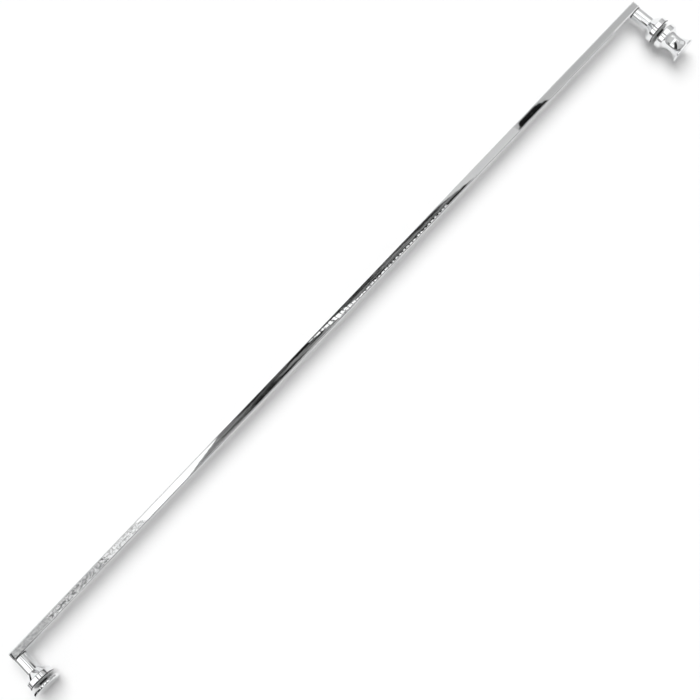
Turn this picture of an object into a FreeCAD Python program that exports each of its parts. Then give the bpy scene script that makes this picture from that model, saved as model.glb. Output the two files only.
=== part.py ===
"""Towel bar for a glass shower door: a rectangular bar on two round posts, through-bolted to the glass.

Frame: the origin is the centre of the glass seat at the knob end. +X runs along the bar to the cap
end, +Y runs from the bar through the glass to the knob, and +Z is up. All sizes are millimetres.
"""
import FreeCAD
import Part

import math
import os

# Bar: a rectangular tube closed by a plate at each end
HOLE_SPACING = 1000.0
BAR_THICKNESS = 10.0
BAR_DEPTH = 15.0
BAR_WALL = 1.2
BAR_EDGE_RADIUS = 1.4
END_PLATE_THICKNESS = 1.5
END_PLATE_EDGE_RADIUS = 1.2

# Post: a round pillar whose spigot carries the bell base
POST_DIAMETER = 15.0
POST_LENGTH = 21.5
SPIGOT_DIAMETER = 11.0
SPIGOT_LENGTH = 11.0

# Bell base: a cone that opens into a short cylindrical rim
BELL_DIAMETER = 30.0
BELL_CONE_HEIGHT = 7.8
BELL_RIM_HEIGHT = 6.7
BELL_SHOULDER_RADIUS = 1.0
BELL_EDGE_RADIUS = 1.5

# Glass seat: a gasket on each side of the glass, and a bush in the glass hole
GASKET_DIAMETER = 22.0
FRONT_GASKET_THICKNESS = 1.6
FRONT_GASKET_PROUD = 0.8
BACK_GASKET_THICKNESS = 1.5
BACK_GASKET_PROUD = 0.3
BUSH_DIAMETER = 10.0
BUSH_SPIGOT_DIAMETER = 9.0
BUSH_SPIGOT_LENGTH = 4.2
SEAT_GAP = 3.2
BUSH_END_GAP = 0.2

# Knob: a waisted handle turned from one piece
KNOB_DIAMETER = 30.0
KNOB_WAIST_DIAMETER = 19.6
KNOB_LENGTH = 31.5
KNOB_COLLAR = 7.2
KNOB_WAIST_FROM_FACE = 17.0
KNOB_END_RIM = 1.6
KNOB_FACE_RADIUS = 1.6
KNOB_SHOULDER_RADIUS = 0.9
KNOB_END_RADIUS = 0.6

# Cap: a thin round disc
CAP_DIAMETER = 32.0
CAP_THICKNESS = 4.2
CAP_EDGE_RADIUS = 1.5
CAP_SCREW_SEAT = 2.2

# Screws and studs
THREAD_DIAMETER = 6.0
THREAD_CHAMFER = 0.6
SET_SCREW_LENGTH = 16.0
SET_SCREW_IN_POST = 8.0
SOCKET_ACROSS_FLATS = 3.0
SOCKET_DEPTH = 3.5
BLOCK_LENGTH = 14.0
BLOCK_THREAD_WALL = 0.7
BLOCK_PLATE_GAP = 0.3
STUD_IN_POST = 19.5
STUD_IN_KNOB = 15.3
CAP_SCREW_IN_POST = 15.5

# Clearances: per side in a pocket, and past the end of a screw
FIT_CLEARANCE = 0.05
LOOSE_CLEARANCE = 0.1
BORE_CLEARANCE = 0.2
END_CLEARANCE = 0.5

# Places worked out from the sizes above
SEAT_Y = 0.0
BELL_FACE_Y = SEAT_Y - FRONT_GASKET_PROUD
BELL_TOP_Y = BELL_FACE_Y - BELL_RIM_HEIGHT - BELL_CONE_HEIGHT
SPIGOT_END_Y = BELL_TOP_Y + SPIGOT_LENGTH
BAR_FRONT_Y = BELL_TOP_Y - POST_LENGTH
BAR_BACK_Y = BAR_FRONT_Y - BAR_THICKNESS
BACK_GASKET_Y = SEAT_Y + SEAT_GAP
BACK_FACE_Y = BACK_GASKET_Y + BACK_GASKET_PROUD
BACK_RECESS = BACK_GASKET_THICKNESS - BACK_GASKET_PROUD
BACK_RECESS_Y = BACK_FACE_Y + BACK_RECESS
FRONT_RECESS = FRONT_GASKET_THICKNESS - FRONT_GASKET_PROUD
THREAD_HOLE_RADIUS = THREAD_DIAMETER / 2 + FIT_CLEARANCE
FREE_HOLE_RADIUS = THREAD_DIAMETER / 2 + BORE_CLEARANCE
KNOB_END_X = 0.0
CAP_END_X = HOLE_SPACING
BLOCK_BEFORE_AXIS = THREAD_DIAMETER / 2 + BLOCK_THREAD_WALL
BAR_OVERHANG = BLOCK_BEFORE_AXIS + BLOCK_PLATE_GAP + END_PLATE_THICKNESS
BAR_START_X = KNOB_END_X - BAR_OVERHANG
BAR_END_X = CAP_END_X + BAR_OVERHANG
TOLERANCE = 1e-4

Y_AXIS = FreeCAD.Vector(0, 1, 0)


def rod(x, y_start, y_end, radius):
    """A cylinder about the line through x, parallel to Y."""
    return Part.makeCylinder(radius, y_end - y_start, FreeCAD.Vector(x, y_start, 0), Y_AXIS)


def turned(x, start, steps):
    """A solid turned about the line through x, parallel to Y.

    start is a (radius, y) point. Each step is a list of such points: one for a line, or two for an
    arc, which are a point on the arc and its end. The outline closes itself.
    """
    place = [FreeCAD.Vector(x + start[0], start[1], 0)]
    edges = []
    for step in steps:
        points = [FreeCAD.Vector(x + radius, y, 0) for radius, y in step]
        if len(points) == 1:
            edges.append(Part.makeLine(place[-1], points[0]))
        else:
            edges.append(Part.Arc(place[-1], points[0], points[1]).toShape())
        place.append(points[-1])
    edges.append(Part.makeLine(place[-1], place[0]))
    face = Part.Face(Part.Wire(edges))
    return face.revolve(FreeCAD.Vector(x, 0, 0), Y_AXIS, 360)


def round_rings(shape, edge_radius, rings):
    """Rounds the circular edges that stand at the given (radius, y) pairs."""
    chosen = []
    for edge in shape.Edges:
        if not isinstance(edge.Curve, Part.Circle):
            continue
        for radius, y in rings:
            same_radius = abs(edge.Curve.Radius - radius) < TOLERANCE
            if same_radius and abs(edge.Curve.Center.y - y) < TOLERANCE:
                chosen.append(edge)
    return shape.makeFillet(edge_radius, chosen)


def tangent_arc_depth(run, drop, fraction):
    """How far an arc has dropped at a fraction of its run, when it ends level after that drop."""
    arc_radius = (run * run + drop * drop) / (2 * drop)
    left = run * (1 - fraction)
    return drop - (arc_radius - math.sqrt(arc_radius * arc_radius - left * left))


def bar_section(x_start, x_end, inset):
    """A length of the bar's outer section, shrunk by inset on every side."""
    origin = FreeCAD.Vector(x_start, BAR_BACK_Y + inset, inset - BAR_DEPTH / 2)
    block = Part.makeBox(x_end - x_start, BAR_THICKNESS - 2 * inset, BAR_DEPTH - 2 * inset, origin)
    radius = max(BAR_EDGE_RADIUS - inset, BAR_EDGE_RADIUS / 4)
    long_edges = [e for e in block.Edges if abs(e.tangentAt(e.FirstParameter).x) > 0.5]
    return block.makeFillet(radius, long_edges)


def end_direction(x):
    """+1 at the knob end and -1 at the cap end: the way from this end to the bar's middle."""
    return 1 if x < HOLE_SPACING / 2 else -1


def between(x_one, x_two):
    """The two places in rising order."""
    return min(x_one, x_two), max(x_one, x_two)


def make_bar_tube():
    """The tube, with a clearance hole in its front wall for each set screw."""
    x_start = BAR_START_X + END_PLATE_THICKNESS
    x_end = BAR_END_X - END_PLATE_THICKNESS
    tube = bar_section(x_start, x_end, 0).cut(bar_section(x_start, x_end, BAR_WALL))
    for x in (KNOB_END_X, CAP_END_X):
        tube = tube.cut(rod(x, BAR_FRONT_Y - 2 * BAR_WALL, BAR_FRONT_Y + BAR_WALL, FREE_HOLE_RADIUS))
    return tube


def make_end_plate(x):
    """The plate that closes the tube: as large as the bar's section, with its outer edge rounded."""
    outer_x = BAR_START_X if end_direction(x) > 0 else BAR_END_X
    seam_x = outer_x + end_direction(x) * END_PLATE_THICKNESS
    plate = bar_section(*between(outer_x, seam_x), 0)
    rim = [e for e in plate.Edges if all(abs(v.X - outer_x) < TOLERANCE for v in e.Vertexes)]
    return plate.makeFillet(END_PLATE_EDGE_RADIUS, rim)


def make_insert_block(x):
    """The threaded block inside the tube that the set screw hangs the post on."""
    inward = end_direction(x)
    block_start = x - inward * BLOCK_BEFORE_AXIS
    block_end = block_start + inward * BLOCK_LENGTH
    block = bar_section(*between(block_start, block_end), BAR_WALL + LOOSE_CLEARANCE)
    return block.cut(rod(x, BAR_BACK_Y, BAR_FRONT_Y, THREAD_HOLE_RADIUS))


def chamfered_rod(x, y_start, y_end, start_chamfer=THREAD_CHAMFER):
    """A threaded rod as a plain cylinder with chamfered ends."""
    radius = THREAD_DIAMETER / 2
    start_radius = radius - start_chamfer
    end_radius = radius - THREAD_CHAMFER
    steps = [[(start_radius, y_start)], [(radius, y_start + start_chamfer)]]
    steps += [[(radius, y_end - THREAD_CHAMFER)], [(end_radius, y_end)], [(0, y_end)]]
    return turned(x, (0, y_start), steps)


def make_bar_set_screw(x):
    """A headless screw with a hexagon socket, from the insert block into the post."""
    y_end = BAR_FRONT_Y + SET_SCREW_IN_POST
    y_start = y_end - SET_SCREW_LENGTH
    corner = SOCKET_ACROSS_FLATS / math.sqrt(3)
    ring = []
    for step in range(7):
        angle = math.radians(60 * step)
        ring.append(FreeCAD.Vector(x + corner * math.cos(angle), y_start, corner * math.sin(angle)))
    socket = Part.Face(Part.makePolygon(ring)).extrude(FreeCAD.Vector(0, SOCKET_DEPTH, 0))
    return chamfered_rod(x, y_start, y_end).cut(socket)


def make_post(x):
    """The pillar: a tapped hole for the set screw above, and one for the stud below."""
    post = rod(x, BAR_FRONT_Y, BELL_TOP_Y, POST_DIAMETER / 2)
    post = post.fuse(rod(x, BELL_TOP_Y, SPIGOT_END_Y, SPIGOT_DIAMETER / 2)).removeSplitter()
    top_hole_end = BAR_FRONT_Y + SET_SCREW_IN_POST + END_CLEARANCE
    lower_hole_end = SPIGOT_END_Y - STUD_IN_POST - END_CLEARANCE
    post = post.cut(rod(x, BAR_FRONT_Y - 1, top_hole_end, THREAD_HOLE_RADIUS))
    return post.cut(rod(x, lower_hole_end, SPIGOT_END_Y + 1, THREAD_HOLE_RADIUS))


def make_bell(x):
    """The bell base, bored for the post's spigot and the bush, and recessed for the gasket."""
    radius = BELL_DIAMETER / 2
    shoulder_y = BELL_TOP_Y + BELL_CONE_HEIGHT
    steps = [[(POST_DIAMETER / 2, BELL_TOP_Y)], [(radius, shoulder_y)], [(radius, BELL_FACE_Y)]]
    bell = turned(x, (0, BELL_TOP_Y), steps + [[(0, BELL_FACE_Y)]])
    bell = round_rings(bell, BELL_SHOULDER_RADIUS, [(radius, shoulder_y)])
    bell = round_rings(bell, BELL_EDGE_RADIUS, [(radius, BELL_FACE_Y)])
    step_y = SPIGOT_END_Y + LOOSE_CLEARANCE
    bell = bell.cut(rod(x, BELL_TOP_Y - 1, step_y, SPIGOT_DIAMETER / 2 + FIT_CLEARANCE))
    bell = bell.cut(rod(x, BELL_TOP_Y, BELL_FACE_Y + 1, BUSH_SPIGOT_DIAMETER / 2 + FIT_CLEARANCE))
    recess_y = BELL_FACE_Y - FRONT_RECESS
    return bell.cut(rod(x, recess_y, BELL_FACE_Y + 1, GASKET_DIAMETER / 2 + LOOSE_CLEARANCE))


def make_front_gasket(x):
    """The flat ring that the glass seats on."""
    y_start = SEAT_Y - FRONT_GASKET_THICKNESS
    ring = rod(x, y_start, SEAT_Y, GASKET_DIAMETER / 2)
    return ring.cut(rod(x, y_start - 1, SEAT_Y + 1, BUSH_DIAMETER / 2 + LOOSE_CLEARANCE))


def make_glass_bush(x):
    """The stepped bush that keeps the stud off the edge of the glass hole."""
    bush = rod(x, SEAT_Y, BACK_GASKET_Y - BUSH_END_GAP, BUSH_DIAMETER / 2)
    bush = bush.fuse(rod(x, SEAT_Y - BUSH_SPIGOT_LENGTH, SEAT_Y, BUSH_SPIGOT_DIAMETER / 2))
    bush = bush.removeSplitter()
    return bush.cut(rod(x, SEAT_Y - BUSH_SPIGOT_LENGTH - 1, BACK_GASKET_Y, FREE_HOLE_RADIUS))


def make_back_gasket(x):
    """The flat ring behind the glass, in the face of the knob or the cap."""
    ring = rod(x, BACK_GASKET_Y, BACK_RECESS_Y, GASKET_DIAMETER / 2)
    return ring.cut(rod(x, BACK_GASKET_Y - 1, BACK_RECESS_Y + 1, FREE_HOLE_RADIUS + LOOSE_CLEARANCE))


def make_knob_stud(x):
    """The threaded stud, fixed in the post, that the knob runs on."""
    return chamfered_rod(x, SPIGOT_END_Y - STUD_IN_POST, BACK_RECESS_Y + STUD_IN_KNOB)


def make_knob(x):
    """The waisted knob: a collar, a hollow that falls to the waist, and one that rises to the end."""
    radius = KNOB_DIAMETER / 2
    drop = radius - KNOB_WAIST_DIAMETER / 2
    end_y = BACK_FACE_Y + KNOB_LENGTH
    collar_y = BACK_FACE_Y + KNOB_COLLAR
    waist_y = BACK_FACE_Y + KNOB_WAIST_FROM_FACE
    rim_y = end_y - KNOB_END_RIM
    near_run = waist_y - collar_y
    far_run = rim_y - waist_y
    near_middle = (radius - tangent_arc_depth(near_run, drop, 0.5), collar_y + near_run / 2)
    far_middle = (radius - tangent_arc_depth(far_run, drop, 0.5), rim_y - far_run / 2)
    steps = [[(radius, BACK_FACE_Y)], [(radius, collar_y)]]
    steps += [[near_middle, (radius - drop, waist_y)], [far_middle, (radius, rim_y)]]
    steps += [[(radius, end_y)], [(0, end_y)]]
    knob = turned(x, (0, BACK_FACE_Y), steps)
    knob = round_rings(knob, KNOB_SHOULDER_RADIUS, [(radius, collar_y)])
    knob = round_rings(knob, KNOB_END_RADIUS, [(radius, end_y)])
    knob = round_rings(knob, KNOB_FACE_RADIUS, [(radius, BACK_FACE_Y)])
    hole_end = BACK_RECESS_Y + STUD_IN_KNOB + END_CLEARANCE
    knob = knob.cut(rod(x, BACK_FACE_Y - 1, hole_end, THREAD_HOLE_RADIUS))
    return knob.cut(rod(x, BACK_FACE_Y - 1, BACK_RECESS_Y, GASKET_DIAMETER / 2 + LOOSE_CLEARANCE))


def make_cap_disc(x):
    """The disc, with a blind seat for its screw."""
    radius = CAP_DIAMETER / 2
    end_y = BACK_FACE_Y + CAP_THICKNESS
    disc = rod(x, BACK_FACE_Y, end_y, radius)
    disc = round_rings(disc, CAP_EDGE_RADIUS, [(radius, BACK_FACE_Y), (radius, end_y)])
    disc = disc.cut(rod(x, BACK_FACE_Y - 1, BACK_RECESS_Y, GASKET_DIAMETER / 2 + LOOSE_CLEARANCE))
    return disc.cut(rod(x, BACK_FACE_Y, BACK_RECESS_Y + CAP_SCREW_SEAT, THREAD_HOLE_RADIUS))


def make_cap_screw(x):
    """The screw fixed in the cap disc, which runs into the post."""
    return chamfered_rod(x, SPIGOT_END_Y - CAP_SCREW_IN_POST, BACK_RECESS_Y + CAP_SCREW_SEAT)


def make_nodes():
    """Every sub-part, by node name."""
    nodes = {"bar_tube": make_bar_tube()}
    at_each_end = {
        "plate": make_end_plate,
        "insert_block": make_insert_block,
        "bar_set_screw": make_bar_set_screw,
        "post": make_post,
        "bell_base": make_bell,
        "front_gasket": make_front_gasket,
        "glass_bush": make_glass_bush,
        "back_gasket": make_back_gasket,
    }
    for end, x in (("knob_end", KNOB_END_X), ("cap_end", CAP_END_X)):
        for piece, make in at_each_end.items():
            nodes[f"{end}_{piece}"] = make(x)
    nodes["knob_stud"] = make_knob_stud(KNOB_END_X)
    nodes["knob"] = make_knob(KNOB_END_X)
    nodes["cap_disc"] = make_cap_disc(CAP_END_X)
    nodes["cap_screw"] = make_cap_screw(CAP_END_X)
    return nodes


def main():
    """Writes one STEP file for each sub-part."""
    os.makedirs("parts", exist_ok=True)
    for name, shape in make_nodes().items():
        shape.exportStep(f"parts/{name}.step")
        print(f"{name}: {len(shape.Solids)} solid, {shape.Volume:.1f} mm3, valid {shape.isValid()}")


main()
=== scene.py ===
"""Chrome towel bar for a glass door: its surfaces, its finishes and a plain studio round it."""
import logging
import math
from abc import ABC, abstractmethod
from dataclasses import dataclass, field
from enum import Enum
from typing import Sequence

import bpy
import numpy as np
from bpy.types import ID, Material, Mesh, Node, NodeOutputs, NodeSocket, NodeTree, Object
from mathutils import Matrix, Vector


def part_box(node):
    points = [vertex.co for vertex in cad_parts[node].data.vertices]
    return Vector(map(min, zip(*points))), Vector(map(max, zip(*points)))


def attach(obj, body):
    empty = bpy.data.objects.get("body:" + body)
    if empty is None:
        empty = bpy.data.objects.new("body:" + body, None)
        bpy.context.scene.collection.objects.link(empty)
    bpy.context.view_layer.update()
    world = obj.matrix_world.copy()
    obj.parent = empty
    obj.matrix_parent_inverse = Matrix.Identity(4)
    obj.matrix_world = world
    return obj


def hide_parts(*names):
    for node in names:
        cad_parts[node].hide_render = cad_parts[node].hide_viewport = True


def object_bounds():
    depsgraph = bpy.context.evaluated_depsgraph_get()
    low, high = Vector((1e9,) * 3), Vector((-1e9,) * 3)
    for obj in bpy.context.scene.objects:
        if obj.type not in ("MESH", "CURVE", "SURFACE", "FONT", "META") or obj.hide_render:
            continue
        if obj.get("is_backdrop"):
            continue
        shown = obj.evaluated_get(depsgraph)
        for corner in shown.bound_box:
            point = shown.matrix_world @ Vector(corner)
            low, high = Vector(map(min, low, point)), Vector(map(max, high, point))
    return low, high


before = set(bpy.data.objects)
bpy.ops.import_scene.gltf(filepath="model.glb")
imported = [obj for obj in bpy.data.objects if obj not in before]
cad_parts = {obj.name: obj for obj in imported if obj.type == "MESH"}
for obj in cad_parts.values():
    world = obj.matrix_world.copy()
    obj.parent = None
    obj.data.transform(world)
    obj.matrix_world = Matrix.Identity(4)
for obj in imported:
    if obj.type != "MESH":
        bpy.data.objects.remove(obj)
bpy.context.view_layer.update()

LOG = logging.getLogger("towel_bar")
MM = 0.001
KNOB_END_X = 0.0
CAP_END_X = (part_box("cap_end_post")[0].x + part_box("cap_end_post")[1].x) / 2
CORE_SHARE = 0.4  # where the caps over a hole's bottom begin, as a share of the hole's radius
ROUND_COLUMNS = 144  # for the large discs, whose outlines show

Pair = tuple[float, float]
Triple = tuple[float, float, float]
Value = float | tuple[float, ...] | NodeSocket


class Body(Enum):
    """The rigid bodies that pieces ride on."""

    BAR_FRAME = "bar_frame"
    KNOB_GASKET = "knob_gasket"
    KNOB = "knob"
    CAP_GASKET = "cap_gasket"
    CAP = "cap"


class Slot(Enum):
    """The record's material slots."""

    BAR_CHROME = "bar_chrome"
    TURNED_CHROME = "turned_chrome"
    KNOB_CHROME = "knob_chrome"
    GASKET_RUBBER = "gasket_rubber"
    BUSH_NYLON = "bush_nylon"
    ZINC_STEEL = "zinc_steel"
    STAINLESS_STUD = "stainless_stud"


# ---------------------------------------------------------------- outlines and surfaces


@dataclass(frozen=True)
class Corner:
    """A corner of an outline: its offset, its place along the axis, and the radius that rounds it."""

    offset: float
    along: float
    radius: float = 0.0


@dataclass
class Outline:
    """A plane outline of short straight runs, with the surface normal on both sides of each point.

    Columns are (offset, along). The material lies to the left of the way the outline runs, so the
    outward normal is the direction of travel turned a quarter turn to the right.
    """

    points: np.ndarray
    normals_before: np.ndarray
    normals_after: np.ndarray
    closed: bool

    @staticmethod
    def from_corners(corners: Sequence[Corner], closed: bool, steps: int = 10) -> "Outline":
        """Rounds every corner that has a radius, and keeps the others sharp.

        A rounded corner is an arc that starts radius * tan(turn / 2) before the corner. Along it the
        direction of travel turns evenly, and a point stands one radius from the arc's centre, at
        right angles to that direction.

        Args:
            corners: The corners in order, with the material to the left.
            closed: Whether the last corner runs back to the first.
            steps: How many runs an arc has.

        Returns:
            The rounded outline.
        """
        places = np.array([(c.offset, c.along) for c in corners], float)
        ahead = np.roll(places, -1, axis=0) - places
        ahead /= np.linalg.norm(ahead, axis=1, keepdims=True)
        behind = np.roll(ahead, 1, axis=0)
        points, before, after = [], [], []
        last = len(corners) - 1
        for index, corner in enumerate(corners):
            way_in, way_out = behind[index], ahead[index]
            is_end = not closed and index in (0, last)
            if is_end:
                way_in = way_out if index == 0 else way_in
                way_out = way_in if index == last else way_out
            if corner.radius <= 0 or is_end:
                points.append(places[index][None])
                before.append(right_of(way_in)[None])
                after.append(right_of(way_out)[None])
                continue
            turn = math.atan2(way_in[0] * way_out[1] - way_in[1] * way_out[0], way_in @ way_out)
            side = math.copysign(corner.radius, turn)
            start = places[index] - way_in * abs(corner.radius * math.tan(turn / 2))
            centre = start - side * right_of(way_in)
            angles = np.linspace(0, turn, steps + 1)
            ways = np.stack(
                [
                    way_in[0] * np.cos(angles) - way_in[1] * np.sin(angles),
                    way_in[0] * np.sin(angles) + way_in[1] * np.cos(angles),
                ],
                axis=1,
            )
            normals = right_of(ways)
            points.append(centre + side * normals)
            before.append(normals)
            after.append(normals)
        return Outline(np.concatenate(points), np.concatenate(before), np.concatenate(after), closed)


def right_of(ways: np.ndarray) -> np.ndarray:
    """The directions turned a quarter turn to the right: (a, b) becomes (b, -a)."""
    return np.stack([ways[..., 1], -ways[..., 0]], axis=-1)


class Path(ABC):
    """A closed path that an outline is carried round."""

    @abstractmethod
    def ring(self, offsets: np.ndarray) -> np.ndarray:
        """The path's points in 3-D at each offset, with nothing added along the axis."""

    @abstractmethod
    def outward(self) -> np.ndarray:
        """The unit direction out of the path at each of its points."""

    @property
    @abstractmethod
    def axis(self) -> np.ndarray:
        """The unit vector along which the outline's second column is measured."""


@dataclass(frozen=True)
class RoundPath(Path):
    """Circles about the line through x that runs along Y; an offset is a radius."""

    x: float
    count: int = 96

    def outward(self) -> np.ndarray:
        """(cos t, 0, -sin t) for evenly spaced t."""
        t = np.arange(self.count) * (2 * np.pi / self.count)
        return np.stack([np.cos(t), np.zeros_like(t), -np.sin(t)], axis=1)

    def ring(self, offsets: np.ndarray) -> np.ndarray:
        """The axis point plus the offset times the outward direction."""
        centre = np.array([self.x, 0.0, 0.0])
        return centre + offsets[:, None, None] * self.outward()[None]

    @property
    def axis(self) -> np.ndarray:
        """Along +Y."""
        return np.array([0.0, 1.0, 0.0])


@dataclass(frozen=True)
class BarPath(Path):
    """The bar's section in the YZ plane, with rounded corners; an offset is 0 or an inset below 0."""

    centre_y: float
    half_y: float
    half_z: float
    radius: float
    corner_steps: int = 10

    def outward(self) -> np.ndarray:
        """At each corner the direction turns evenly through a quarter turn."""
        quarter = np.linspace(0, np.pi / 2, self.corner_steps + 1)
        t = (quarter[None] + np.arange(4)[:, None] * (np.pi / 2)).ravel()
        return np.stack([np.zeros_like(t), np.cos(t), np.sin(t)], axis=1)

    def ring(self, offsets: np.ndarray) -> np.ndarray:
        """The corner arc's centre plus its radius times the outward direction.

        The arc's centre stays put while the inset is less than three quarters of the corner radius.
        Past that the radius stays at a quarter of it, and the centre moves inward with the inset.
        """
        least = self.radius / 4
        radii = np.maximum(self.radius + offsets, least)
        reach_y = self.half_y + offsets - radii
        reach_z = self.half_z + offsets - radii
        signs_y = np.repeat([1.0, -1.0, -1.0, 1.0], self.corner_steps + 1)
        signs_z = np.repeat([1.0, 1.0, -1.0, -1.0], self.corner_steps + 1)
        outward = self.outward()
        y = self.centre_y + reach_y[:, None] * signs_y + radii[:, None] * outward[:, 1]
        z = reach_z[:, None] * signs_z + radii[:, None] * outward[:, 2]
        return np.stack([np.zeros_like(y), y, z], axis=-1)

    @property
    def axis(self) -> np.ndarray:
        """Along +X."""
        return np.array([1.0, 0.0, 0.0])


@dataclass
class Grid:
    """Faces as flat arrays, ready for a mesh."""

    points: np.ndarray
    quads: np.ndarray
    quad_normals: np.ndarray | None = None
    caps: list[np.ndarray] = field(default_factory=list)
    cap_normals: list[np.ndarray] = field(default_factory=list)

    def to_mesh(self, name: str) -> Mesh:
        """Puts the arrays into a new mesh, with smooth faces and the worked-out normals.

        Args:
            name: The mesh's name.

        Returns:
            The mesh.
        """
        corners = np.concatenate([self.quads.ravel(), *self.caps]).astype(np.int32)
        sizes = [np.full(len(self.quads), 4), [len(c) for c in self.caps]]
        totals = np.concatenate(sizes).astype(np.int32)
        starts = np.concatenate([[0], np.cumsum(totals)[:-1]]).astype(np.int32)
        mesh = bpy.data.meshes.new(name)
        mesh.vertices.add(len(self.points))
        mesh.vertices.foreach_set("co", self.points.astype(np.float32).ravel())
        mesh.loops.add(len(corners))
        mesh.loops.foreach_set("vertex_index", corners)
        mesh.polygons.add(len(totals))
        mesh.polygons.foreach_set("loop_start", starts)
        mesh.polygons.foreach_set("loop_total", totals)
        mesh.polygons.foreach_set("use_smooth", np.ones(len(totals), bool))
        mesh.update(calc_edges=True)
        if self.quad_normals is not None:
            flat = [np.tile(n, (len(c), 1)) for n, c in zip(self.cap_normals, self.caps)]
            normals = np.concatenate([self.quad_normals.reshape(-1, 3), *flat])
            mesh.normals_split_custom_set(normals.astype(np.float32).tolist())
        return mesh


def grid_quads(rows: int, columns: int, closed: bool) -> np.ndarray:
    """The faces of a grid of points whose last column runs back to its first.

    Args:
        rows: How many rows of points there are.
        columns: How many points a row has.
        closed: Whether the last row runs back to the first too.

    Returns:
        Four point numbers for each face.
    """
    here, ahead = np.meshgrid(
        np.arange(rows if closed else rows - 1), np.arange(columns), indexing="ij"
    )
    next_row, next_column = (here + 1) % rows, (ahead + 1) % columns
    ways = ((here, ahead), (here, next_column), (next_row, next_column), (next_row, ahead))
    return np.stack([row * columns + column for row, column in ways], axis=-1).reshape(-1, 4)


def end_caps(rows: int, columns: int) -> list[np.ndarray]:
    """The point numbers of the flat faces over a grid's first and last rows."""
    return [np.arange(columns)[::-1], np.arange(columns) + (rows - 1) * columns]


def carry(outline: Outline, path: Path) -> Grid:
    """Carries an outline round a path.

    A point is the path's ring at the outline's offset, plus the axis times the outline's place
    along it. A normal is the same sum made with the outline's normal. An open outline is closed
    by a flat cap at each end.

    Args:
        outline: The outline, in metres.
        path: The path that it goes round.

    Returns:
        The closed surface.
    """
    offsets, along = outline.points[:, 0], outline.points[:, 1]
    points = path.ring(offsets) + along[:, None, None] * path.axis
    rows, columns = points.shape[:2]
    quads = grid_quads(rows, columns, outline.closed)
    outward = path.outward()[None]

    def turned(normals: np.ndarray) -> np.ndarray:
        """The outline's normals, at every point of the path."""
        return (normals[:, None, :1] * outward + normals[:, None, 1:] * path.axis).reshape(-1, 3)

    leaving, arriving = turned(outline.normals_after), turned(outline.normals_before)
    normals = np.concatenate([leaving[quads[:, :2]], arriving[quads[:, 2:]]], axis=1)
    grid = Grid(points.reshape(-1, 3), quads, normals)
    if not outline.closed:
        grid.caps = end_caps(rows, columns)
        grid.cap_normals = [-path.axis, path.axis]
    return grid


def lathe(x: float, corners: Sequence[Corner], closed: bool, steps: int, columns: int = 96) -> Grid:
    """Turns an outline about the line through x that runs along Y."""
    return carry(Outline.from_corners(corners, closed, steps), RoundPath(x, columns))


@dataclass(frozen=True)
class ThreadedRod:
    """A rod with a right-hand thread, along Y."""

    x: float
    start_y: float
    end_y: float
    radius: float = 3.0 * MM
    pitch: float = 1.0 * MM
    depth: float = 0.58 * MM
    flat_share: float = 0.14
    slope_share: float = 0.72
    columns: int = 48
    rows_per_pitch: int = 14

    def grid(self) -> Grid:
        """The thread's surface over the angle t and the place y.

        The ridge follows y / pitch - t / full turn. Its height is a triangle wave of the fraction
        of that, cut flat at the root and the crest. At both ends a cone of 45 degrees from the root
        radius limits it.

        Returns:
            The rod, closed by a flat cap at each end.
        """
        rows = int(round((self.end_y - self.start_y) / self.pitch * self.rows_per_pitch)) + 1
        y, t = np.meshgrid(
            np.linspace(self.start_y, self.end_y, rows),
            np.arange(self.columns) * (2 * np.pi / self.columns),
            indexing="ij",
        )
        fraction = np.mod(y / self.pitch - t / (2 * np.pi), 1.0)
        wave = 1 - np.abs(2 * fraction - 1)
        ridge = np.clip((wave - self.flat_share) / self.slope_share, 0, 1)
        root = self.radius - self.depth
        height = np.minimum(ridge * self.depth, np.minimum(y - self.start_y, self.end_y - y))
        radius = root + height
        points = np.stack([self.x + radius * np.cos(t), y, -radius * np.sin(t)], axis=-1)
        quads = grid_quads(rows, self.columns, closed=False)
        return Grid(points.reshape(-1, 3), quads, caps=end_caps(rows, self.columns))


# ---------------------------------------------------------------- shader groups


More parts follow.
